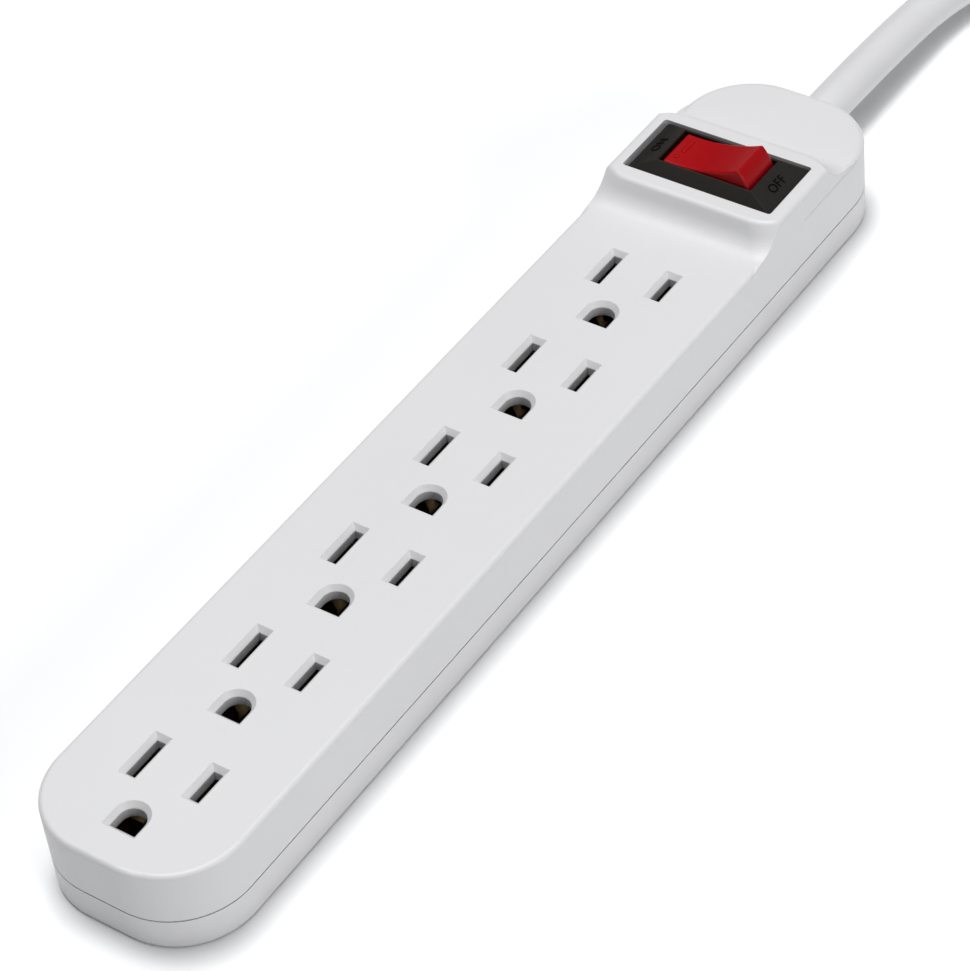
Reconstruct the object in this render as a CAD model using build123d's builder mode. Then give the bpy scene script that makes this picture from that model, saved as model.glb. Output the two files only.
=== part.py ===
"""Six-outlet power strip with a rocker switch, a round mains lead and a moulded plug.

Frame: millimetres, +X towards the lead's end, +Y towards the neutral slots, +Z up.
The origin is the centre of the base, on the surface that the strip stands on.
"""
from math import atan2, cos, degrees, pi, radians, sin, tan
import os

from build123d import *

# ---------------------------------------------------------------- driving sizes
LENGTH = 229.0
WIDTH = 38.8
DECK = 18.0                 # height of the outlet deck
CORNER = 14.8               # plan radius of the four corners
WALL = 2.0
DECK_T = 3.0
BASE_T = 2.0
PARTING = 6.9               # middle of the shadow line between the covers
SHADOW_GAP = 0.26

OUTLETS = 6
PITCH = 28.5
FIRST_OUTLET = -92.5        # blade slots of the outlet at the foot end
BLADE_Y = 6.35
NEUTRAL_SLOT = 8.5
HOT_SLOT = 6.8
SLOT_W = 1.9
BEVEL_D = 1.1
BEVEL_W = 0.9
GROUND_R = 2.61
GROUND_X = -11.85           # centre of the ground hole's round end, from the blade slots
GROUND_FLAT = -14.46        # its flat side

SWITCH_X, SWITCH_Y = 80.4, -0.25
HUMP_H = 5.1                # hump above the deck
HUMP_TOP = 20.9             # its flat top, along the strip
SLOPE = 62.0                # its steepest stretch, degrees
FOOT_R, BROW_R = 5.5, 1.3   # radii where it leaves the deck and where it meets its top
OPENING_X, OPENING_Y = 16.0, 33.2
FLANGE_X, FLANGE_Y = 15.5, 32.0
FLANGE_Z = 20.9             # ledge that the switch's flange rests on
BODY_X, BODY_Y, BODY_Z = 13.0, 27.0, 9.2
WELL_X, WELL_Y = 10.1, 20.8
FLOOR_Z = 10.8              # floor of the switch's well
BEZEL_LOW_Z = 22.5          # the bezel's outer edge, and its edge round the well
BEZEL_TOP_Z = 24.6

PIVOT_Z = 21.2
SWING = 11.2                # the rocker's tilt each side of level, degrees
ROCKER_R = 10.1             # round ends, about the pivot
ROCKER_W = 9.5
CREST_Y, CREST_Z = 8.6, 5.05
DISH = 1.1                  # hollow of its face
SKIRT_Z = -2.26             # lower edge of its ends
PLUNGER_R = 1.25
TRUNNION_R = 1.2
TRUNNION_END = 5.8          # from the switch's middle; its bearing is 0.15 deeper
LEVER_Z = 13.4
LEVER_SWING = 8.0

CORD_R = 4.2
CORD_EXIT_Z = 8.9
HANK_Z = 5.1                # middle of the lowest turns, above the tie's band
HANK_X = 217.0              # near fold's centre
HANK_RUN = 66.0
FOLD_R = 28.0
LAY = 8.6                   # from one turn to the next above it

BAR_Z = 6.6
BAR_T = 0.8
RIB_TOP = 6.9               # ribs that keep the bars apart
TONGUE = 186.0
SCREWS = [(-105, 10.4), (-105, -10.4), (7.25, 13.2), (7.25, -13.2), (105, 10.4), (105, -10.4)]
KEYHOLES = [-78.25, 35.75]
KEYHOLE_R, KEYHOLE_SLOT_R, KEYHOLE_TRAVEL = 4.0, 2.0, 7.0
CLAMP_X = 98.0
CLAMP_SCREWS = [(CLAMP_X, 7.6), (CLAMP_X, -7.6)]
WIRE_R = 1.35
TAB_Z = 3.2                 # lower ends of the switch's tabs
LOAD_Y = -7.5               # load contact, from the switch's middle

PLUG_X, PLUG_Y, PLUG_Z = 231.0, 28.0, 30.6
PIN_DROP = 11.9             # ground pin from the line between the blades
CORD_ROUTE = [(94, 0, 8.9), (118, 0, 8.85), (146, 0, 8.0), (172, -0.8, 6.3),
              (194, -9, 4.9), (212, -21.5, 4.9), (230, -FOLD_R, HANK_Z)]
TAIL_ROUTE = [(311, -7.5, 22.3), (311, 7.5, 22.9), (303.5, 20.5, 26.3),
              (290.5, PLUG_Y, 29.9), (275.5, PLUG_Y, PLUG_Z)]

os.makedirs("parts", exist_ok=True)
outlet_x = [FIRST_OUTLET + PITCH * k for k in range(OUTLETS)]
TINY = 0.01


def save(builder, label):
    """Name a finished piece and write its file."""
    builder.part.label = label
    export_step(builder.part, f"parts/{label}.step")
    return builder.part


# ---------------------------------------------------------------- top cover
def hump_levels():
    """Height above the deck and distance run in from the hump's foot, level by level."""
    steep = radians(SLOPE)
    rise, run = (1 - cos(steep)), sin(steep)
    straight = (HUMP_H - (FOOT_R + BROW_R) * rise) / tan(steep)
    reach = (FOOT_R + BROW_R) * run + straight
    levels = [(-0.9, -4.0)]
    for k in range(11):
        a = steep * k / 10
        levels.append((FOOT_R * (1 - cos(a)), FOOT_R * sin(a)))
    for k in range(6):
        a = steep * (1 - k / 5)
        levels.append((HUMP_H - BROW_R * (1 - cos(a)), reach - BROW_R * sin(a)))
    return levels, reach


def hump_section(height, foot_half):
    """One level of the hump, wider than the body so that the sides cut its round corners."""
    corner = 4 + 4 * (max(height, 0) / HUMP_H) ** 0.7
    with BuildSketch(Plane.XY.offset(DECK + height)) as level:
        with Locations((SWITCH_X, 0)):
            RectangleRounded(2 * foot_half, WIDTH + 4, corner)
    return level.sketch


levels, hump_reach = hump_levels()
with BuildPart() as hump:
    with BuildSketch(Plane.XY.offset(DECK - 0.8)):
        RectangleRounded(LENGTH, WIDTH, CORNER)
        with Locations((SWITCH_X, 0)):
            Rectangle(60, WIDTH, mode=Mode.INTERSECT)
    extrude(amount=HUMP_H + 0.8)
    fillet(hump.faces().sort_by(Axis.Z)[-1].edges().filter_by(Axis.X), radius=1.4)
    loft([hump_section(h, HUMP_TOP / 2 + hump_reach - run) for h, run in levels], ruled=True,
         mode=Mode.INTERSECT)


def shell_end(x0, x1, edge_r):
    """One stretch of the shell with its rim rounded; the stretches differ in radius."""
    with BuildPart() as stretch:
        with BuildSketch(Plane.XY.offset(PARTING + SHADOW_GAP / 2)):
            RectangleRounded(LENGTH, WIDTH, CORNER)
            with Locations(((x0 + x1) / 2, 0)):
                Rectangle(x1 - x0, WIDTH, mode=Mode.INTERSECT)
        extrude(amount=DECK - PARTING - SHADOW_GAP / 2)
        rim = stretch.faces().sort_by(Axis.Z)[-1].edges()
        fillet(rim.filter_by(lambda edge: abs(edge.center().X - SWITCH_X) > 1), radius=edge_r)
    return stretch.part


foot_shell = shell_end(-LENGTH / 2, SWITCH_X, 0.9)
head_shell = shell_end(SWITCH_X, LENGTH / 2, 1.6)

with BuildPart() as top_cover:
    add(foot_shell)
    add(head_shell)
    add(hump.part)
    # the hollow, with room under the hump for the switch's ledge
    with BuildSketch(Plane.XY.offset(PARTING)):
        RectangleRounded(LENGTH - 2 * WALL, WIDTH - 2 * WALL, CORNER - WALL)
    extrude(amount=DECK - DECK_T - PARTING, mode=Mode.SUBTRACT)
    with BuildSketch(Plane.XY.offset(DECK - DECK_T - TINY)):
        with Locations((SWITCH_X, 0)):
            Rectangle(18, WIDTH - 4)
    extrude(amount=3.9, mode=Mode.SUBTRACT)
    # rebate that the lower cover's tongue slides into
    with BuildSketch(Plane.XY.offset(PARTING)):
        RectangleRounded(LENGTH - 2.2, WIDTH - 2.2, CORNER - 1.1)
    extrude(amount=1.7, mode=Mode.SUBTRACT)
    # switch opening: a recess for the flange over a smaller hole for the body
    with BuildSketch(Plane.XY.offset(FLANGE_Z)):
        with Locations((SWITCH_X, 0)):
            RectangleRounded(OPENING_X, OPENING_Y, 0.6)
    extrude(amount=5, mode=Mode.SUBTRACT)
    with BuildSketch(Plane.XY.offset(DECK - DECK_T - 1)):
        with Locations((SWITCH_X, SWITCH_Y)):
            Rectangle(BODY_X + 0.4, BODY_Y + 0.4)
    extrude(amount=8, mode=Mode.SUBTRACT)
    # blade slots and ground holes, each with a bevelled mouth
    for slot_y, slot_len in ((BLADE_Y, NEUTRAL_SLOT), (-BLADE_Y, HOT_SLOT)):
        with BuildSketch(Plane.XY.offset(DECK + TINY)):
            with Locations([(x, slot_y) for x in outlet_x]):
                Rectangle(slot_len + 2 * BEVEL_W, SLOT_W + 2 * BEVEL_W)
        extrude(amount=-BEVEL_D, taper=degrees(atan2(BEVEL_W, BEVEL_D)), mode=Mode.SUBTRACT)
        with BuildSketch(Plane.XY.offset(DECK)):
            with Locations([(x, slot_y) for x in outlet_x]):
                Rectangle(slot_len, SLOT_W)
        extrude(amount=-DECK_T - 1, mode=Mode.SUBTRACT)
    for x in outlet_x:
        for grow, depth, angle in ((BEVEL_W, BEVEL_D, degrees(atan2(BEVEL_W, BEVEL_D))), (0, 4, 0)):
            with BuildSketch(Plane.XY.offset(DECK + (TINY if grow else 0))):
                with Locations((x + GROUND_X, 0)):
                    Circle(GROUND_R + grow)
                    with Locations((-50, 0)):
                        Rectangle(100, 2 * (GROUND_R + grow))
                with Locations((x + GROUND_FLAT - grow - 100, 0)):
                    Rectangle(200, 20, mode=Mode.SUBTRACT)
            extrude(amount=-depth, taper=angle, mode=Mode.SUBTRACT)
    # screw posts
    with BuildSketch(Plane.XY.offset(PARTING + 0.1)):
        with Locations(SCREWS):
            Circle(2.7)
            Circle(1.3, mode=Mode.SUBTRACT)
    extrude(until=Until.NEXT)
    # the lead's hole in the end wall
    with BuildSketch(Plane.YZ.offset(LENGTH / 2 - 6)):
        with Locations((0, CORD_EXIT_Z)):
            Circle(CORD_R + 0.15)
    extrude(amount=8, mode=Mode.SUBTRACT)
save(top_cover, "top_cover")


# ---------------------------------------------------------------- lower cover
with BuildPart() as bottom_cover:
    with BuildSketch(Plane.XY):
        RectangleRounded(LENGTH, WIDTH, CORNER)
    extrude(amount=PARTING - SHADOW_GAP / 2)
    fillet(bottom_cover.faces().sort_by(Axis.Z)[0].edges(), radius=0.8)
    with BuildSketch(Plane.XY.offset(BASE_T)):
        RectangleRounded(LENGTH - 2 * WALL, WIDTH - 2 * WALL, CORNER - WALL)
    extrude(amount=PARTING, mode=Mode.SUBTRACT)
    # tongues that stand up inside the top cover's long walls
    with BuildSketch(Plane.XY.offset(PARTING - SHADOW_GAP / 2 - TINY)):
        Rectangle(TONGUE, WIDTH - 2.6)
        Rectangle(TONGUE, WIDTH - 2 * WALL, mode=Mode.SUBTRACT)
    extrude(amount=1.55)
    # screw bosses, ribs between the bars, and a rest across under each ground contact
    with BuildSketch(Plane.XY.offset(BASE_T - TINY)):
        with Locations(SCREWS):
            Circle(3.8)
    extrude(amount=4.9)
    with BuildSketch(Plane.XY.offset(BASE_T - TINY)):
        with Locations((-21, 3.7), (-21, -3.7)):
            Rectangle(160, 0.8)
    extrude(amount=RIB_TOP - BASE_T + TINY)
    with BuildSketch(Plane.XY.offset(BASE_T - TINY)):
        with Locations([(x + GROUND_X - 0.25, 0) for x in outlet_x] + [(58, 0)]):
            Rectangle(1.6, 17.2)
    extrude(amount=BAR_Z - BASE_T + TINY)
    # saddle under the lead and bosses for its clamp
    with BuildSketch(Plane.XY.offset(BASE_T - TINY)):
        with Locations((CLAMP_X, 0)):
            Rectangle(6, 11)
        with Locations(CLAMP_SCREWS):
            Circle(2.2)
    extrude(amount=CORD_EXIT_Z - 0.1 - BASE_T + TINY)
    with BuildSketch(Plane.YZ.offset(CLAMP_X - 4)):
        with Locations((0, CORD_EXIT_Z)):
            Circle(CORD_R + 0.05)
    extrude(amount=8, mode=Mode.SUBTRACT)
    with BuildSketch(Plane.XY.offset(3.5)):
        with Locations(CLAMP_SCREWS):
            Circle(1.05)
    extrude(amount=8, mode=Mode.SUBTRACT)
    # keyholes, each in a closed pocket
    for x in KEYHOLES:
        with BuildSketch(Plane.XY.offset(BASE_T - TINY)):
            with Locations((x + KEYHOLE_TRAVEL / 2, 0)):
                Rectangle(18, 11)
        extrude(amount=3.8)
        with BuildSketch(Plane.XY.offset(BASE_T - TINY)):
            with Locations((x + KEYHOLE_TRAVEL / 2, 0)):
                Rectangle(16.2, 9.2)
        extrude(amount=3, mode=Mode.SUBTRACT)
        with BuildSketch(Plane.XY):
            with Locations((x, 0)):
                Circle(KEYHOLE_R)
            with Locations((x + KEYHOLE_TRAVEL / 2, 0)):
                Rectangle(KEYHOLE_TRAVEL, 2 * KEYHOLE_SLOT_R)
            with Locations((x + KEYHOLE_TRAVEL, 0)):
                Circle(KEYHOLE_SLOT_R)
        extrude(amount=BASE_T, mode=Mode.SUBTRACT)
    # screw holes with sunk seats
    with BuildSketch(Plane.XY):
        with Locations(SCREWS):
            Circle(1.6)
    extrude(amount=8, mode=Mode.SUBTRACT)
    with BuildSketch(Plane.XY):
        with Locations(SCREWS):
            Circle(3.0)
    extrude(amount=2.0, mode=Mode.SUBTRACT)
    # the lead's hole in the end wall; the rest of it is in the top cover
    with BuildSketch(Plane.YZ.offset(LENGTH / 2 - 6)):
        with Locations((0, CORD_EXIT_Z)):
            Circle(CORD_R + 0.15)
    extrude(amount=8, mode=Mode.SUBTRACT)
save(bottom_cover, "bottom_cover")

with BuildPart() as cover_screws:
    with BuildSketch(Plane.XY.offset(0.4)):
        with Locations(SCREWS):
            Circle(2.8)
    extrude(amount=1.6)
    fillet(cover_screws.faces().filter_by(Axis.Z).group_by(Axis.Z)[0].edges(), radius=0.7)
    with BuildSketch(Plane.XY.offset(0.4)):
        with Locations(SCREWS):
            Rectangle(3.2, 0.6)
            Rectangle(0.6, 3.2)
    extrude(amount=0.9, mode=Mode.SUBTRACT)
    with BuildSketch(Plane.XY.offset(2.0 - TINY)):
        with Locations(SCREWS):
            Circle(1.25)
    extrude(amount=10)
save(cover_screws, "cover_screws")


# ---------------------------------------------------------------- bus bars
def leaf_outline(y, side, half_gap, bend_z, top_z):
    """End view of a sprung leaf that stands on a bar and flares at its top."""
    near, far = y + side * half_gap, y + side * (half_gap + 0.5)
    flare = side * 0.7
    return [(near, BAR_Z + 0.4), (near, bend_z), (near + flare, top_z), (far + flare, top_z),
            (far, bend_z), (far, BAR_Z + 0.4)]


def blade_bar(y):
    """A bar with a pair of leaves under each of its slots."""
    with BuildPart() as bar:
        with BuildSketch(Plane.XY.offset(BAR_Z)):
            with Locations((-18.6, y)):
                Rectangle(159.2, 4)
        extrude(amount=BAR_T)
        for x in outlet_x:
            with BuildSketch(Plane.YZ.offset(x - 3.5)):
                for side in (1, -1):
                    with BuildLine():
                        Polyline(*leaf_outline(y, side, 0.7, 12.4, 14.2), close=True)
                    make_face()
            extrude(amount=7)
    return bar


save(blade_bar(BLADE_Y), "neutral_bus_bar")
save(blade_bar(-BLADE_Y), "hot_bus_bar")

with BuildPart() as ground_bus_bar:
    with BuildSketch(Plane.XY.offset(BAR_Z)):
        with Locations((-23.5, 0)):
            Rectangle(169, 5.8)
    extrude(amount=BAR_T)
    for x in outlet_x:
        with BuildSketch(Plane.YZ.offset(x + GROUND_X - 2.5)):
            for side in (1, -1):
                with BuildLine():
                    Polyline(*leaf_outline(0, side, 2.3, 11.8, 13.4), close=True)
                make_face()
        extrude(amount=5)
save(ground_bus_bar, "ground_bus_bar")

# ---------------------------------------------------------------- switch
with BuildPart() as switch_housing:
    with BuildSketch(Plane.XY.offset(BODY_Z)):
        with Locations((SWITCH_X, SWITCH_Y)):
            Rectangle(BODY_X, BODY_Y)
    extrude(amount=FLANGE_Z - BODY_Z)
    with BuildSketch(Plane.XY.offset(FLANGE_Z)):
        with Locations((SWITCH_X, SWITCH_Y)):
            RectangleRounded(FLANGE_X, FLANGE_Y, 0.5)
    extrude(amount=BEZEL_LOW_Z - FLANGE_Z)
    # four sloping faces up to the well's edge, mitred at the corners
    with BuildSketch(Plane.XY.offset(BEZEL_LOW_Z)):
        with Locations((SWITCH_X, SWITCH_Y)):
            Rectangle(FLANGE_X - 0.3, FLANGE_Y - 0.3)
    with BuildSketch(Plane.XY.offset(BEZEL_TOP_Z)):
        with Locations((SWITCH_X, SWITCH_Y)):
            Rectangle(WELL_X + 0.5, WELL_Y + 0.5)
    loft(ruled=True)
    with BuildSketch(Plane.XY.offset(FLOOR_Z)):
        with Locations((SWITCH_X, SWITCH_Y)):
            Rectangle(WELL_X, WELL_Y)
    extrude(amount=20, mode=Mode.SUBTRACT)
    # stop under the free end of the lever
    with BuildSketch(Plane.XY.offset(FLOOR_Z - TINY)):
        with Locations((SWITCH_X, SWITCH_Y + 5.6)):
            Rectangle(5, 1.2)
    extrude(amount=1.7)
    # bearings for the rocker's trunnions and slots for the two tabs
    with BuildSketch(Plane.YZ.offset(SWITCH_X - TRUNNION_END - 0.15)):
        with Locations((SWITCH_Y, PIVOT_Z)):
            Circle(TRUNNION_R + 0.06)
    extrude(amount=2 * TRUNNION_END + 0.3, mode=Mode.SUBTRACT)
    with BuildSketch(Plane.XY.offset(BODY_Z - 1)):
        with Locations((SWITCH_X, SWITCH_Y), (SWITCH_X, SWITCH_Y + LOAD_Y)):
            Rectangle(4.9, 0.9)
    extrude(amount=3, mode=Mode.SUBTRACT)
save(switch_housing, "switch_housing")

# the rocker's own frame: its origin on the pivot, tilted as it rests, +Y end down
swing = radians(SWING)
tilt = Plane((SWITCH_X, SWITCH_Y, PIVOT_Z), x_dir=(1, 0, 0), z_dir=(0, sin(swing), cos(swing)))
side_dir = (0, cos(swing), -sin(swing))


def side_plane(x):
    """The rocker's side view, its first axis along the rocker and its second upwards."""
    return Plane((SWITCH_X + x, SWITCH_Y, PIVOT_Z), x_dir=side_dir, z_dir=(1, 0, 0))


skirt_u = (ROCKER_R ** 2 - SKIRT_Z ** 2) ** 0.5
with BuildPart() as rocker:
    with BuildSketch(side_plane(-ROCKER_W / 2)):
        with BuildLine():
            Line((-skirt_u, SKIRT_Z), (skirt_u, SKIRT_Z))
            ThreePointArc((skirt_u, SKIRT_Z), (ROCKER_R, 0), (CREST_Y, CREST_Z))
            ThreePointArc((CREST_Y, CREST_Z), (0, CREST_Z - DISH), (-CREST_Y, CREST_Z))
            ThreePointArc((-CREST_Y, CREST_Z), (-ROCKER_R, 0), (-skirt_u, SKIRT_Z))
        make_face()
    extrude(amount=ROCKER_W)
    upper = rocker.edges().filter_by(lambda edge: tilt.to_local_coords(edge.center()).Z > 1)
    fillet(upper, radius=0.45)
    with BuildSketch(side_plane(-ROCKER_W / 2 + 1.3)):
        with BuildLine():
            Polyline((-8.9, SKIRT_Z - 1), (8.9, SKIRT_Z - 1), (8.9, 1.4), (7.0, 2.9), (-7.0, 2.9),
                     (-8.9, 1.4), close=True)
        make_face()
    extrude(amount=ROCKER_W - 2.6, mode=Mode.SUBTRACT)
    with BuildSketch(tilt.offset(-4.6)):
        Circle(2.3)
    extrude(amount=7.9)
    with BuildSketch(tilt.offset(-4.7)):
        Circle(PLUNGER_R + 0.1)
    extrude(amount=5.7, mode=Mode.SUBTRACT)
    for side in (1, -1):
        with BuildSketch(side_plane(side * TRUNNION_END)):
            Circle(TRUNNION_R)
        extrude(amount=-side * (TRUNNION_END - 2.2))
save(rocker, "rocker")

with BuildPart() as rocker_plunger:
    with BuildSketch(tilt.offset(-7 + PLUNGER_R)):
        Circle(PLUNGER_R)
    extrude(amount=4.4 - PLUNGER_R)
    with Locations(tilt.offset(-7 + PLUNGER_R).location):
        Sphere(PLUNGER_R)
save(rocker_plunger, "rocker_plunger")

with BuildPart() as plunger_spring:
    with BuildLine() as coil:
        Helix(pitch=0.64, height=3.2, radius=0.95, center=(0, 0, 0))
    with BuildSketch(Plane(origin=coil.line @ 0, z_dir=coil.line % 0)):
        Circle(0.2)
    sweep(is_frenet=True)
plunger_spring.part = tilt.offset(-2.4).location * plunger_spring.part
save(plunger_spring, "plunger_spring")

# the lever's own side view, tilted so that its contact end is down
lean = radians(LEVER_SWING)
lever_dir = (0, cos(lean), sin(lean))
with BuildPart() as contact_lever:
    with BuildSketch(Plane((SWITCH_X - 2, SWITCH_Y, LEVER_Z), x_dir=lever_dir, z_dir=(1, 0, 0))):
        with Locations((0.4, 0.4)):
            Rectangle(17.2, 0.7)
        Circle(0.45, mode=Mode.SUBTRACT)
    extrude(amount=4)
save(contact_lever, "contact_lever")

lever_plane = Plane((SWITCH_X, SWITCH_Y, LEVER_Z), x_dir=(1, 0, 0),
                    z_dir=(0, -sin(lean), cos(lean)))
with BuildPart() as moving_contact:
    with BuildSketch(lever_plane.offset(-0.45)):
        with Locations((0, LOAD_Y)):
            Circle(1.5)
    extrude(amount=0.5)
    with Locations(lever_plane.offset(2.05).location):
        with Locations((0, LOAD_Y, 0)):
            Sphere(2.5, mode=Mode.INTERSECT)
save(moving_contact, "moving_contact")

with BuildPart() as common_terminal:
    with BuildSketch(Plane.XY.offset(TAB_Z)):
        with Locations((SWITCH_X, SWITCH_Y)):
            Rectangle(4.8, 0.8)
    extrude(amount=LEVER_Z - TAB_Z)
    with BuildSketch(Plane.XY.offset(FLOOR_Z)):
        with Locations((SWITCH_X, SWITCH_Y)):
            Rectangle(8, 0.8)
    extrude(amount=1.2)
    with BuildSketch(Plane.YZ.offset(SWITCH_X - 2.4)):
        with Locations((SWITCH_Y, LEVER_Z)):
            Circle(0.4)
    extrude(amount=4.8)
save(common_terminal, "common_terminal")

with BuildPart() as load_terminal:
    with BuildSketch(Plane.XY.offset(FLOOR_Z)):
        with Locations((SWITCH_X, SWITCH_Y + LOAD_Y)):
            Rectangle(8, 5)
    extrude(amount=0.6)
    with BuildSketch(Plane.XY.offset(TAB_Z)):
        with Locations((SWITCH_X, SWITCH_Y + LOAD_Y)):
            Rectangle(4.8, 0.8)
    extrude(amount=FLOOR_Z - TAB_Z + TINY)
save(load_terminal, "load_terminal")

with BuildPart() as fixed_contact:
    with BuildSketch(Plane.XY.offset(FLOOR_Z + 0.6)):
        with Locations((SWITCH_X, SWITCH_Y + LOAD_Y)):
            Circle(1.6)
    extrude(amount=0.45)
save(fixed_contact, "fixed_contact")


# ---------------------------------------------------------------- leads inside
def receptacle(y, toward):
    """Push-on terminal on one of the switch's tabs, its barrel to one side."""
    with BuildPart() as flag:
        with BuildSketch(Plane.XY.offset(3.0)):
            with Locations((SWITCH_X, y)):
                Rectangle(6.2, 2.0)
        extrude(amount=4.4)
        with BuildSketch(Plane.YZ.offset(SWITCH_X + toward * 3.0)):
            with Locations((y, 5.2)):
                Circle(1.9)
        extrude(amount=toward * 2.6)
        with BuildSketch(Plane.YZ.offset(SWITCH_X + toward * 3.0)):
            with Locations((y, 5.2)):
                Circle(WIRE_R + 0.05)
        extrude(amount=toward * 4.0, mode=Mode.SUBTRACT)
        with BuildSketch(Plane.XY.offset(2.0)):
            with Locations((SWITCH_X, y)):
                Rectangle(4.9, 0.9)
        extrude(amount=6, mode=Mode.SUBTRACT)
    return flag


def tube(route, radii, radius, label):
    """A round tube along a route, rounded at each inner point."""
    with BuildPart() as piece:
        with BuildLine() as path:
            FilletPolyline(*route, radius=radii)
        with BuildSketch(Plane(origin=path.line @ 0, z_dir=path.line % 0)):
            Circle(radius)
        sweep()
    save(piece, label)
    return sum(edge.length for edge in path.line.edges())


save(receptacle(SWITCH_Y, 1), "common_receptacle")
save(receptacle(SWITCH_Y + LOAD_Y, -1), "load_receptacle")

wire_top = BAR_Z + BAR_T + WIRE_R + TINY
tube([(94, -1.6, 8.0), (92.9, -1.6, 8.0), (89, SWITCH_Y, 5.2), (84, SWITCH_Y, 5.2)], 1.5, WIRE_R,
     "line_lead")
tube([(77.4, SWITCH_Y + LOAD_Y, 5.2), (69.5, SWITCH_Y + LOAD_Y, 5.2), (65, -6.4, wire_top),
      (58.5, -6.3, wire_top)], 4, WIRE_R, "load_lead")
tube([(94, 1.6, 8.0), (92.6, 1.6, 8.0), (91.3, 6.8, 5.6), (88, 6.8, 4.5), (71, 6.8, 4.4),
      (65, 6.4, wire_top), (58.5, 6.3, wire_top)], 1.5, WIRE_R, "neutral_lead")
tube([(94, 0, 10.7), (91.6, 0, 10.7), (88.6, 3.3, 6.5), (85.5, 3.4, 4.5), (71, 3.3, 4.4),
      (65, 0.1, wire_top), (58.5, 0, wire_top)], 1.5, WIRE_R, "ground_lead")

with BuildPart() as cord_clamp:
    with BuildSketch(Plane.YZ.offset(CLAMP_X - 3)):
        with Locations((0, CORD_EXIT_Z + 1.25)):
            Rectangle(19.6, 2.5)
        with Locations((0, CORD_EXIT_Z)):
            Circle(5.5)
        with Locations((0, CORD_EXIT_Z - 10)):
            Rectangle(40, 20, mode=Mode.SUBTRACT)
        with Locations((0, CORD_EXIT_Z)):
            Circle(CORD_R + 0.05, mode=Mode.SUBTRACT)
    extrude(amount=6)
    with BuildSketch(Plane.XY.offset(CORD_EXIT_Z - 1)):
        with Locations(CLAMP_SCREWS):
            Circle(1.3)
    extrude(amount=6, mode=Mode.SUBTRACT)
save(cord_clamp, "cord_clamp")

with BuildPart() as clamp_screws:
    with BuildSketch(Plane.XY.offset(CORD_EXIT_Z + 2.5)):
        with Locations(CLAMP_SCREWS):
            Circle(2.0)
    extrude(amount=1.3)
    with BuildSketch(Plane.XY.offset(CORD_EXIT_Z + 3.2)):
        with Locations(CLAMP_SCREWS):
            Rectangle(2.4, 0.5)
            Rectangle(0.5, 2.4)
    extrude(amount=1, mode=Mode.SUBTRACT)
    with BuildSketch(Plane.XY.offset(4.0)):
        with Locations(CLAMP_SCREWS):
            Circle(1.0)
    extrude(amount=CORD_EXIT_Z + 2.5 - 4.0 + TINY)
save(clamp_screws, "clamp_screws")


# ---------------------------------------------------------------- cord and plug
def bend_radii(route):
    """The bend at each inner point, as wide as the runs beside it allow."""
    runs = [Vector(b) - Vector(a) for a, b in zip(route, route[1:])]
    return [0.45 * min(a.length, b.length) / tan(radians(a.get_angle(b)) / 2)
            for a, b in zip(runs, runs[1:])]


run_length = tube(CORD_ROUTE, bend_radii(CORD_ROUTE), CORD_R, "cord_run")
tail_length = tube(TAIL_ROUTE, bend_radii(TAIL_ROUTE), CORD_R, "cord_tail")


with BuildPart() as upper_lap:
    with BuildSketch(Plane.XY.offset(HANK_Z + LAY)):
        with Locations((HANK_X + HANK_RUN / 2, 0)):
            SlotCenterToCenter(HANK_RUN, 2 * (FOLD_R + CORD_R))
            SlotCenterToCenter(HANK_RUN, 2 * (FOLD_R - CORD_R), mode=Mode.SUBTRACT)
        with Locations((HANK_X, 50)):
            Rectangle(400, 100, mode=Mode.SUBTRACT)
    extrude(amount=LAY + CORD_R)
    crest = upper_lap.faces().sort_by(Axis.Z)[-1].edges()
    fillet(crest.filter_by(lambda edge: abs(edge.center().Y) > 1), radius=3.9)

with BuildPart() as cord_hank:
    with BuildSketch(Plane.XY.offset(HANK_Z - CORD_R)):
        with Locations((HANK_X + HANK_RUN / 2, 0)):
            SlotCenterToCenter(HANK_RUN, 2 * (FOLD_R + CORD_R))
            SlotCenterToCenter(HANK_RUN, 2 * (FOLD_R - CORD_R), mode=Mode.SUBTRACT)
    extrude(amount=LAY + 2 * CORD_R)
    fillet(cord_hank.faces().filter_by(Axis.Z).edges(), radius=3.9)
    add(upper_lap.part)
save(cord_hank, "cord_hank")

with BuildPart() as cord_tie:
    with BuildSketch(Plane.YZ.offset(HANK_X + 2.5)):
        with BuildLine():
            FilletPolyline((-33.2, 0), (33.2, 0), (33.2, 19.2), (-24, 28.2), (-33.2, 28.2),
                           radius=3, close=True)
        make_face()
        offset(amount=-0.6, mode=Mode.SUBTRACT)
    extrude(amount=5)
save(cord_tie, "cord_tie")

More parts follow.
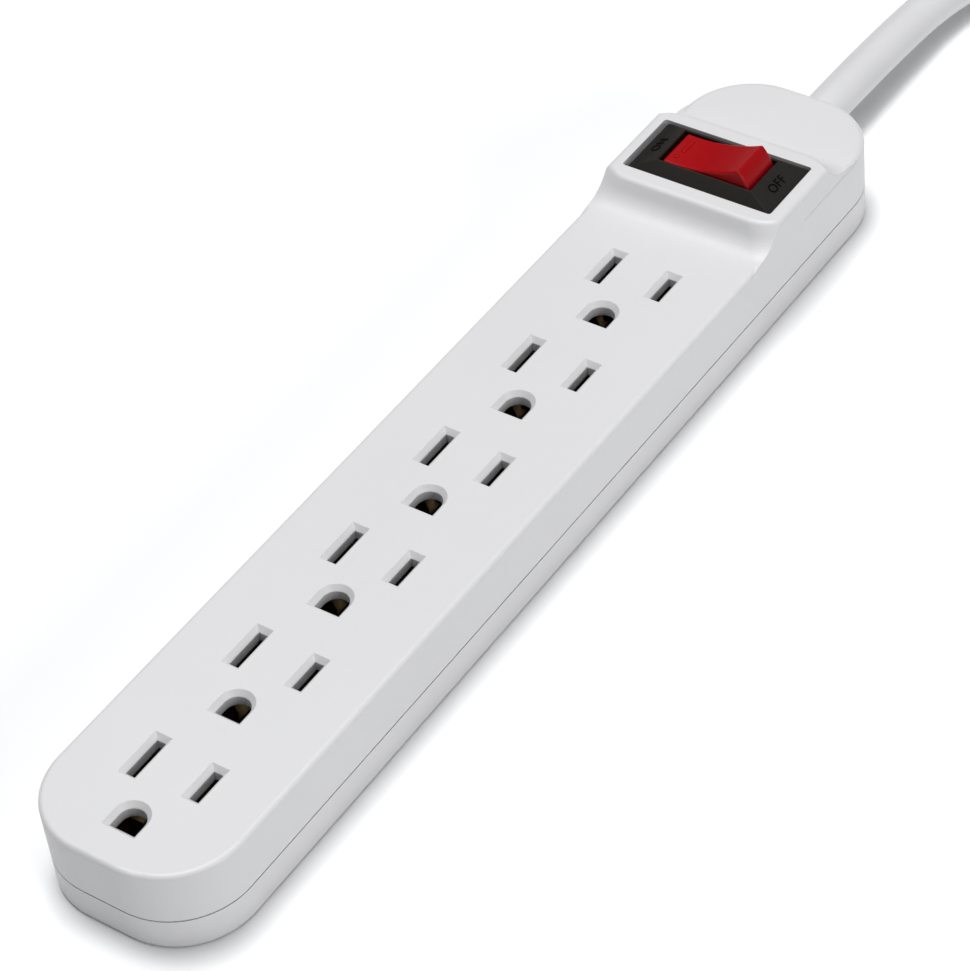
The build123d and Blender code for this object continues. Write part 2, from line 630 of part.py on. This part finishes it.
blade_z = PLUG_Z - 5.0
pin_z = blade_z + PIN_DROP
with BuildPart() as plug_body:
    with BuildSketch(Plane.YZ.offset(PLUG_X)):
        with Locations((PLUG_Y, PLUG_Z)):
            RectangleRounded(27, 25, 8)
    extrude(amount=13)
    fillet(plug_body.faces().sort_by(Axis.X)[0].edges(), radius=0.8)
    with BuildSketch(Plane.YZ.offset(PLUG_X + 13 - TINY)):
        with Locations((PLUG_Y, PLUG_Z)):
            RectangleRounded(27, 25, 8)
    with BuildSketch(Plane.YZ.offset(PLUG_X + 30)):
        with Locations((PLUG_Y, PLUG_Z)):
            RectangleRounded(15.4, 15.4, 7.5)
    loft(ruled=True)
    with BuildSketch(Plane.YZ.offset(PLUG_X + 30 - TINY)):
        with Locations((PLUG_Y, PLUG_Z)):
            Circle(7.5)
    extrude(amount=24, taper=6.9)
    for x in (34, 38, 42, 46, 50):
        with BuildSketch(Plane.YZ.offset(PLUG_X + x)):
            with Locations((PLUG_Y, PLUG_Z)):
                Circle(12)
                Circle(7.5 - 0.121 * (x - 30) - 0.8, mode=Mode.SUBTRACT)
        extrude(amount=1.6, mode=Mode.SUBTRACT)
    # sockets that the blades and the pin are moulded into
    with BuildSketch(Plane.YZ.offset(PLUG_X - 1)):
        with Locations((PLUG_Y + BLADE_Y, blade_z), (PLUG_Y - BLADE_Y, blade_z)):
            Rectangle(1.5, 6.35)
        with Locations((PLUG_Y, pin_z)):
            Circle(2.375)
    extrude(amount=8, mode=Mode.SUBTRACT)
save(plug_body, "plug_body")


def plug_blade(y):
    """A flat blade with bevelled tip and the usual round hole."""
    with BuildPart() as blade:
        with BuildSketch(Plane.YZ.offset(PLUG_X - 17.5)):
            with Locations((y, blade_z)):
                Rectangle(1.5, 6.35)
        extrude(amount=24.5)
        chamfer(blade.faces().sort_by(Axis.X)[0].edges(), length=0.5)
        with BuildSketch(Plane.XZ.offset(-y - 2)):
            with Locations((PLUG_X - 14, blade_z)):
                Circle(1.6)
        extrude(amount=4, mode=Mode.SUBTRACT)
    return blade


save(plug_blade(PLUG_Y + BLADE_Y), "plug_neutral_blade")
save(plug_blade(PLUG_Y - BLADE_Y), "plug_hot_blade")

with BuildPart() as plug_ground_pin:
    with BuildSketch(Plane.YZ.offset(PLUG_X - 20.6)):
        with Locations((PLUG_Y, pin_z)):
            Circle(2.375)
    extrude(amount=27.6)
    fillet(plug_ground_pin.faces().sort_by(Axis.X)[0].edges(), radius=1.8)
save(plug_ground_pin, "plug_ground_pin")

lap = 2 * HANK_RUN + 2 * pi * FOLD_R
hank_length = 2 * lap - (CORD_ROUTE[-1][0] - HANK_X) + HANK_RUN + pi * FOLD_R / 2 - 7.5
print("cord radius", CORD_R, "run", round(run_length, 1), "tail", round(tail_length, 1),
      "hank", round(hank_length, 1), "whole", round(run_length + tail_length + hank_length, 1))
print("cord bends", [round(r, 1) for r in bend_radii(CORD_ROUTE) + bend_radii(TAIL_ROUTE)])
print("wire radius", WIRE_R)
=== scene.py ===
"""Looks for the power strip: camera, lead, materials, lettering, light and floor."""
import bmesh
import bpy
from math import cos, pi, radians, sin
from mathutils import Matrix, Vector


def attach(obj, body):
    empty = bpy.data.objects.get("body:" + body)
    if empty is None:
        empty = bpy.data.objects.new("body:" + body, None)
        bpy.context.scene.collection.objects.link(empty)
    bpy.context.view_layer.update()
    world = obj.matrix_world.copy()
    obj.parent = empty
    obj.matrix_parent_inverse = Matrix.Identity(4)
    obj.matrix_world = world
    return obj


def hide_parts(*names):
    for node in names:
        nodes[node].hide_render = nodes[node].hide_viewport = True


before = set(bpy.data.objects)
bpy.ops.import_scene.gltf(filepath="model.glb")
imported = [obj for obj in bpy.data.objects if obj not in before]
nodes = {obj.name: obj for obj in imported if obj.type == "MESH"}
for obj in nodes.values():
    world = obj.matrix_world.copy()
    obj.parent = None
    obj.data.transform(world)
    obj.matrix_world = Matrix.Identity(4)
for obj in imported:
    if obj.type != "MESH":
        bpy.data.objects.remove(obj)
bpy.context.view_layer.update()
MM = 0.001

# ---------------------------------------------------------------- camera
SENSOR_WIDTH, LENS = 36, 124.81         # millimetres
NEAR_CLIP = 0.01
CAMERA_PLACE = (-0.350762, -0.279928, 0.429037)

camera = bpy.data.objects.new("camera", bpy.data.cameras.new("camera"))
bpy.context.scene.collection.objects.link(camera)
view_right = Vector((0.557712, -0.825443, -0.087181))
view_down = Vector((-0.606375, -0.333456, -0.721884))
view_ahead = Vector((0.566803, 0.455468, -0.686501))
camera.matrix_world = (Matrix.Translation(CAMERA_PLACE)
                       @ Matrix((view_right, -view_down, -view_ahead)).transposed().to_4x4())
camera.data.sensor_width = SENSOR_WIDTH
camera.data.lens = LENS
camera.data.clip_start = NEAR_CLIP
bpy.context.scene.camera = camera

# ---------------------------------------------------------------- the lead
CORD_R = 4.2
HANK_Z = 5.1                # height of the lowest lap's middle line
HANK_X = 217.0              # centre of the fold nearer the strip
HANK_RUN = 66.0             # from that centre to the far fold's
FOLD_R = 28.0
LAY = 8.6                   # rise from one lap to the next
LAPS = 3
RUN_X = (226, 242, 258, 274)    # where a lap's straight runs have their points
CORD_ROUTE = [(94, 0, 8.9), (118, 0, 8.85), (146, 0, 8.0), (172, -0.8, 6.3),
              (194, -9, 4.9), (212, -21.5, 4.9), (230, -FOLD_R, HANK_Z)]
TAIL_ROUTE = [(311, -7.5, 22.3), (311, 7.5, 22.9), (303.5, 20.5, 26.3),
              (290.5, 28, 29.9), (275.5, 28, 30.6)]
FOLD_STEP = 22.5            # degrees between the points of a fold
FOLD_POINTS = 9
LAST_FOLD_POINTS = 4        # the last lap leaves its far fold here for the plug
FOLD_OUT = 1.019            # how far outside its arc a fold's points stand
CLIMB = (95, 175)           # degrees of the near fold over which a lap rises onto the next
CURVE_ORDER, CURVE_STEPS, CURVE_SIDES = 3, 10, 8


def fold_point(centre_x, angle, z):
    """One point of a fold, at an angle in degrees about the fold's centre."""
    a = radians(angle)
    return (centre_x + FOLD_R * FOLD_OUT * cos(a), FOLD_R * FOLD_OUT * sin(a), z)


def hank_points():
    """Laps of the hank, each lying on the last: lower run, far fold, upper run, near fold."""
    far_x = HANK_X + HANK_RUN
    route_end_x = CORD_ROUTE[-1][0]
    points = []
    for lap in range(LAPS):
        last = lap == LAPS - 1
        z = HANK_Z + lap * LAY
        points += [(x, -FOLD_R, z) for x in RUN_X if lap or x > route_end_x]
        for k in range(LAST_FOLD_POINTS if last else FOLD_POINTS):
            points.append(fold_point(far_x, -90 + k * FOLD_STEP, z))
        if last:
            return points
        points += [(x, FOLD_R, z) for x in reversed(RUN_X)]
        for k in range(FOLD_POINTS):
            angle = 90 + k * FOLD_STEP
            risen = min(max((angle - CLIMB[0]) / (CLIMB[1] - CLIMB[0]), 0), 1)
            points.append(fold_point(HANK_X, angle, z + LAY * risen))


def spline_object(name, points, radius):
    """A round flexible length along one smooth open curve, sizes in millimetres."""
    curve = bpy.data.curves.new(name, "CURVE")
    curve.dimensions = "3D"
    spline = curve.splines.new("NURBS")
    spline.points.add(len(points) - 1)
    for point, place in zip(spline.points, points):
        point.co = (*(v * MM for v in place), 1)
        point.radius = radius * MM
    spline.order_u = CURVE_ORDER
    spline.use_endpoint_u = True
    curve.resolution_u = CURVE_STEPS
    curve.bevel_depth = 1.0         # times each point's radius
    curve.bevel_resolution = CURVE_SIDES
    curve.use_fill_caps = True
    piece = bpy.data.objects.new(name, curve)
    bpy.context.scene.collection.objects.link(piece)
    return piece


cord = spline_object("power_lead", CORD_ROUTE + hank_points() + TAIL_ROUTE, CORD_R)
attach(cord, "strip")
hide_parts("cord_run", "cord_hank", "cord_tail")


# ---------------------------------------------------------------- materials
NOISE_LOW, NOISE_HIGH = 0.3, 0.7    # the range that nearly all of a noise keeps to
BEVEL_SAMPLES = 6
METAL_EDGE = 0.0001                 # radius of a metal edge's shine, metres
# Scales of the noises, in cycles per metre.
SHADE_SCALE, GLOSS_SCALE, FLOW_SCALE = 28, 900, 60
GRAIN_SCALE, COARSE_GRAIN_SCALE = 4200, 1500
TARNISH_SCALE, DRAWN_SCALE = 160, 700
JACKET_SHADE_SCALE, JACKET_GLOSS_SCALE = 35, 1100
JACKET_WAVE_SCALE, JACKET_GRAIN_SCALE = 130, 2600
PAPER_SCALE = 3


class Nodes:
    """Short-hand for building one node material."""

    def __init__(self, name, **values):
        self.material = bpy.data.materials.new(name)
        self.material.use_nodes = True
        self.tree = self.material.node_tree
        self.shader = self.tree.nodes["Principled BSDF"]
        for socket, value in values.items():
            self.shader.inputs[socket.replace("_", " ")].default_value = value
        self.place = self.new("ShaderNodeTexCoord").outputs["Object"]

    def new(self, kind, **settings):
        node = self.tree.nodes.new(kind)
        for key, value in settings.items():
            setattr(node, key, value)
        return node

    def link(self, source, target):
        self.tree.links.new(source, target)

    def noise(self, scale, detail=3, rough=0.5, stretch=None):
        """Noise over the object's own coordinates; scale is in cycles per metre."""
        node = self.new("ShaderNodeTexNoise")
        node.inputs["Scale"].default_value = scale
        node.inputs["Detail"].default_value = detail
        node.inputs["Roughness"].default_value = rough
        if stretch:
            mapping = self.new("ShaderNodeMapping")
            mapping.inputs["Scale"].default_value = stretch
            self.link(self.place, mapping.inputs["Vector"])
            self.link(mapping.outputs["Vector"], node.inputs["Vector"])
        else:
            self.link(self.place, node.inputs["Vector"])
        return node.outputs["Fac"]

    def span(self, source, low, high):
        """Takes a noise's usual range to low .. high."""
        node = self.new("ShaderNodeMapRange")
        node.inputs["From Min"].default_value = NOISE_LOW
        node.inputs["From Max"].default_value = NOISE_HIGH
        node.inputs["To Min"].default_value = low
        node.inputs["To Max"].default_value = high
        self.link(source, node.inputs["Value"])
        return node.outputs["Result"]

    def colour(self, source, stops):
        """A colour ramp from (position, colour) stops into the base colour."""
        ramp = self.new("ShaderNodeValToRGB")
        band = ramp.color_ramp
        while len(band.elements) < len(stops):
            band.elements.new(0.5)
        for element, (where, shade) in zip(band.elements, stops):
            element.position = where
            element.color = (*shade, 1)
        self.link(source, ramp.inputs["Fac"])
        self.link(ramp.outputs["Color"], self.shader.inputs["Base Color"])

    def relief(self, layers, edge_r=0.0):
        """Stacks bumps, each (height source, distance in metres, strength)."""
        normal = None
        if edge_r:
            edge = self.new("ShaderNodeBevel", samples=BEVEL_SAMPLES)
            edge.inputs["Radius"].default_value = edge_r
            normal = edge.outputs["Normal"]
        for source, depth, strength in layers:
            bump = self.new("ShaderNodeBump")
            bump.inputs["Distance"].default_value = depth
            bump.inputs["Strength"].default_value = strength
            self.link(source, bump.inputs["Height"])
            if normal is not None:
                self.link(normal, bump.inputs["Normal"])
            normal = bump.outputs["Normal"]
        self.link(normal, self.shader.inputs["Normal"])


def moulded(name, shade, rough, edge_r, grain_depth, spread, specular=0.5):
    """Moulded plastic: spark-eroded grain, faint flow marks and slow shade changes."""
    m = Nodes(name, Specular_IOR_Level=specular)
    slow = m.noise(SHADE_SCALE, 4)
    darker = [c * (1 - spread) for c in shade]
    lighter = [c * (1 + spread) for c in shade]
    m.colour(slow, [(NOISE_LOW, darker), (NOISE_HIGH, lighter)])
    m.link(m.span(m.noise(GLOSS_SCALE), rough - 0.05, rough + 0.05), m.shader.inputs["Roughness"])
    m.relief([(m.noise(FLOW_SCALE, stretch=(0.3, 1, 1)), 0.00006, 0.25),
              (m.noise(GRAIN_SCALE, 2), grain_depth, 0.6),
              (m.noise(COARSE_GRAIN_SCALE), grain_depth, 0.4)], edge_r)
    return m.material


def metal(name, shade, rough, stretch):
    """Stamped or turned metal with fine drawn lines and a little tarnish."""
    m = Nodes(name, Metallic=1.0)
    tarnished = [c * 0.72 for c in shade]
    polished = [min(1, c * 1.08) for c in shade]
    m.colour(m.noise(TARNISH_SCALE, 5, 0.65), [(0.32, tarnished), (0.6, shade), (0.8, polished)])
    lines = m.noise(DRAWN_SCALE, 4, stretch=stretch)
    m.link(m.span(lines, rough - 0.08, rough + 0.1), m.shader.inputs["Roughness"])
    m.relief([(lines, 0.00002, 0.5)], METAL_EDGE)
    return m.material


white = moulded("white_abs", (0.665, 0.665, 0.675), 0.46, 0.00025, 0.000012, 0.012)
plug_white = moulded("white_pvc", (0.64, 0.64, 0.65), 0.5, 0.0004, 0.00002, 0.02)
black = moulded("bezel_black", (0.014, 0.0125, 0.0105), 0.5, 0.00012, 0.000012, 0.15, 0.2)
red = moulded("rocker_red", (0.31, 0.0035, 0.0055), 0.36, 0.0003, 0.000006, 0.08, 0.16)
nylon = moulded("natural_nylon", (0.55, 0.53, 0.45), 0.4, 0.0001, 0.00001, 0.04)
clamp_grey = moulded("clamp_plastic", (0.5, 0.5, 0.48), 0.5, 0.0002, 0.00002, 0.04)
tie_white = moulded("tie_vinyl", (0.6, 0.6, 0.58), 0.38, 0.0001, 0.00002, 0.05)
ink = moulded("letter_black", (0.002, 0.002, 0.002), 0.5, 0.0, 0.000004, 0.1, 0.05)
# Bus-bar brass, made far darker than bare brass: painted shade standing in for the dark insides of the
# outlet slots.
brass = metal("bar_brass", (0.14, 0.1, 0.045), 0.45, (0.05, 1, 1))
contact_brass = metal("contact_brass", (0.76, 0.52, 0.26), 0.28, (1, 0.1, 1))
silver = metal("contact_silver", (0.8, 0.79, 0.76), 0.3, (1, 1, 1))
zinc = metal("zinc_steel", (0.52, 0.53, 0.54), 0.38, (1, 1, 0.2))
nickel = metal("nickel_plate", (0.66, 0.64, 0.6), 0.24, (0.06, 1, 1))
wires = {name: moulded(f"insulation_{name}", shade, 0.42, 0.0, 0.00001, 0.06)
         for name, shade in (("black", (0.015, 0.015, 0.015)), ("white", (0.6, 0.6, 0.57)),
                             ("green", (0.02, 0.16, 0.045)))}

jacket = Nodes("white_jacket", Specular_IOR_Level=0.4)
jacket.colour(jacket.noise(JACKET_SHADE_SCALE, 4),
              [(NOISE_LOW, (0.63, 0.63, 0.64)), (NOISE_HIGH, (0.67, 0.67, 0.68))])
jacket.link(jacket.span(jacket.noise(JACKET_GLOSS_SCALE), 0.42, 0.56), jacket.shader.inputs["Roughness"])
jacket.relief([(jacket.noise(JACKET_WAVE_SCALE, 2), 0.00012, 0.3),
               (jacket.noise(JACKET_GRAIN_SCALE), 0.00003, 0.5)])

finishes = {
    "top_cover": white, "bottom_cover": white, "switch_housing": black, "rocker": red,
    "rocker_plunger": nylon, "plunger_spring": zinc, "cover_screws": zinc, "clamp_screws": zinc,
    "neutral_bus_bar": brass, "hot_bus_bar": brass, "ground_bus_bar": brass,
    "contact_lever": contact_brass, "common_terminal": contact_brass, "load_terminal": contact_brass,
    "common_receptacle": contact_brass, "load_receptacle": contact_brass,
    "moving_contact": silver, "fixed_contact": silver, "line_lead": wires["black"],
    "load_lead": wires["black"], "neutral_lead": wires["white"], "ground_lead": wires["green"],
    "cord_clamp": clamp_grey, "cord_tie": tie_white, "plug_body": plug_white,
    "plug_neutral_blade": nickel, "plug_hot_blade": nickel, "plug_ground_pin": nickel,
}
for name, material in finishes.items():
    for slot in nodes[name].material_slots:
        slot.material = material
cord.data.materials.append(jacket.material)

# ---------------------------------------------------------------- lettering on the bezel
SWITCH_X, SWITCH_Y = 80.4, -0.25
LETTER_SIZE, LETTER_SPACING = 2.75, 1.05
LETTER_RISE = 0.06          # half of a letter's thickness; its lower face lies on the slope
BEZEL_EDGE_Y, BEZEL_EDGE_Z = 15.85, 22.5        # outer edge of the end slopes, from the middle
WELL_EDGE_Y, WELL_EDGE_Z = 10.65, 24.6          # their inner edge, round the well


def bezel_word(word, side):
    """ON or OFF, standing a hair proud of the bezel's slope at one end."""
    text = bpy.data.curves.new("lettering", "FONT")
    text.body = word
    text.size = LETTER_SIZE * MM
    text.space_character = LETTER_SPACING
    text.extrude = LETTER_RISE * MM
    text.align_x = "CENTER"
    text.align_y = "CENTER"
    drawn = bpy.data.objects.new("lettering", text)
    mesh = bpy.data.meshes.new_from_object(drawn)
    bpy.data.objects.remove(drawn)
    piece = bpy.data.objects.new(f"word_{word.lower()}", mesh)
    bpy.context.scene.collection.objects.link(piece)
    right = Vector((1, 0, 0))
    up = Vector((0, BEZEL_EDGE_Y - WELL_EDGE_Y, -side * (WELL_EDGE_Z - BEZEL_EDGE_Z))).normalized()
    out = right.cross(up)
    middle = Vector((SWITCH_X, SWITCH_Y + side * (BEZEL_EDGE_Y + WELL_EDGE_Y) / 2,
                     (BEZEL_EDGE_Z + WELL_EDGE_Z) / 2)) * MM
    mesh.transform(Matrix.Translation(middle + out * LETTER_RISE * MM)
                   @ Matrix((right, up, out)).transposed().to_4x4())
    mesh.materials.clear()
    mesh.materials.append(ink)
    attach(piece, "strip")


bezel_word("OFF", -1)
bezel_word("ON", 1)

# ---------------------------------------------------------------- marks on the rocker
PIVOT_Z = 21.2
REST_TILT = 11.2            # degrees
CREST_Y, CREST_Z = 8.6, 5.05    # the high ends of the rocker's face, from its pivot
DISH = 1.1                  # how far the middle of the face lies below its ends
MARK_RISE = 0.24            # height of a mark above the face
MARK_ROOT = 0.1             # depth of a mark below the face
MARK_SIDES = 24
MARK_TAPER = (0.96, 0.86)   # a mark's top as shares of its foot, across and along the rocker


def face_height(along):
    """Height of the rocker's dished face above its pivot, at a distance along it."""
    bow_r = (CREST_Y ** 2 + DISH ** 2) / (2 * DISH)
    return CREST_Z - DISH + bow_r - (bow_r ** 2 - along ** 2) ** 0.5


def rocker_mark(name, across, along, length, width):
    """A small raised bar across the rocker's face, or a dot where length equals width."""
    mesh = bpy.data.meshes.new(name)
    shape = bmesh.new()
    straight = (length - width) / 2
    rim = []
    for k in range(MARK_SIDES):
        a = 2 * pi * (k + 0.5) / MARK_SIDES
        rim.append((across + width / 2 * cos(a) + (straight if cos(a) > 0 else -straight),
                    along + width / 2 * sin(a)))
    foot = [shape.verts.new((x, y, face_height(y) - MARK_ROOT)) for x, y in rim]
    top = [shape.verts.new((across + (x - across) * MARK_TAPER[0], along + (y - along) * MARK_TAPER[1],
                            face_height(y) + MARK_RISE)) for x, y in rim]
    shape.faces.new(top)
    shape.faces.new(foot[::-1])
    for k in range(MARK_SIDES):
        following = (k + 1) % MARK_SIDES
        shape.faces.new((foot[k], foot[following], top[following], top[k]))
    for vert in shape.verts:
        vert.co = vert.co * MM
    pivot = Vector((SWITCH_X, SWITCH_Y, PIVOT_Z)) * MM
    tilt = Matrix.Rotation(-radians(REST_TILT), 4, "X")
    bmesh.ops.transform(shape, verts=shape.verts, matrix=Matrix.Translation(pivot) @ tilt)
    shape.to_mesh(mesh)
    shape.free()
    piece = bpy.data.objects.new(name, mesh)
    bpy.context.scene.collection.objects.link(piece)
    mesh.materials.append(red)
    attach(piece, "rocker_body")


rocker_mark("rocker_on_bar", 1.2, 6.5, 4.2, 0.9)
rocker_mark("rocker_on_dot", -2.5, 6.9, 0.9, 0.9)

# ---------------------------------------------------------------- floor and light
FLOOR_REACH = 4.0           # metres from the middle to each side
FLOOR_DROP = 0.0001         # keeps the floor clear of the base

floor_mesh = bpy.data.meshes.new("floor")
corners = [(x * FLOOR_REACH, y * FLOOR_REACH, 0) for x, y in ((-1, -1), (1, -1), (1, 1), (-1, 1))]
floor_mesh.from_pydata(corners, [], [(0, 1, 2, 3)])
floor = bpy.data.objects.new("floor", floor_mesh)
bpy.context.scene.collection.objects.link(floor)
floor.location.z = -FLOOR_DROP
paper = Nodes("floor_paper", Roughness=0.9, Specular_IOR_Level=0.1)
paper.colour(paper.noise(PAPER_SCALE, 2),
             [(NOISE_LOW, (0.93, 0.935, 0.94)), (NOISE_HIGH, (0.94, 0.945, 0.95))])
floor.data.materials.append(paper.material)


def area_light(name, place, size, power):
    """A square soft box at a place, aimed at the strip's middle, in metres and watts."""
    lamp = bpy.data.lights.new(name, "AREA")
    lamp.shape = "SQUARE"
    lamp.size = size
    lamp.energy = power
    holder = bpy.data.objects.new(name, lamp)
    bpy.context.scene.collection.objects.link(holder)
    holder.location = place
    holder.rotation_euler = (-Vector(place)).to_track_quat("-Z", "Y").to_euler()


area_light("key", place=(0.15, 0.25, 1.9), size=0.6, power=20.5)
area_light("overhead", place=(0.1, 0.15, 2.2), size=1.8, power=26)
area_light("side_fill", place=(-0.35, -1.9, 0.7), size=0.8, power=14)

SKY_COLOUR, SKY_STRENGTH = (0.95, 0.97, 1, 1), 0.04

world = bpy.data.worlds.new("studio")
world.use_nodes = True
background = world.node_tree.nodes["Background"]
background.inputs["Color"].default_value = SKY_COLOUR
background.inputs["Strength"].default_value = SKY_STRENGTH
bpy.context.scene.world = world
bpy.context.scene.view_settings.view_transform = "Standard"

bpy.context.view_layer.update()
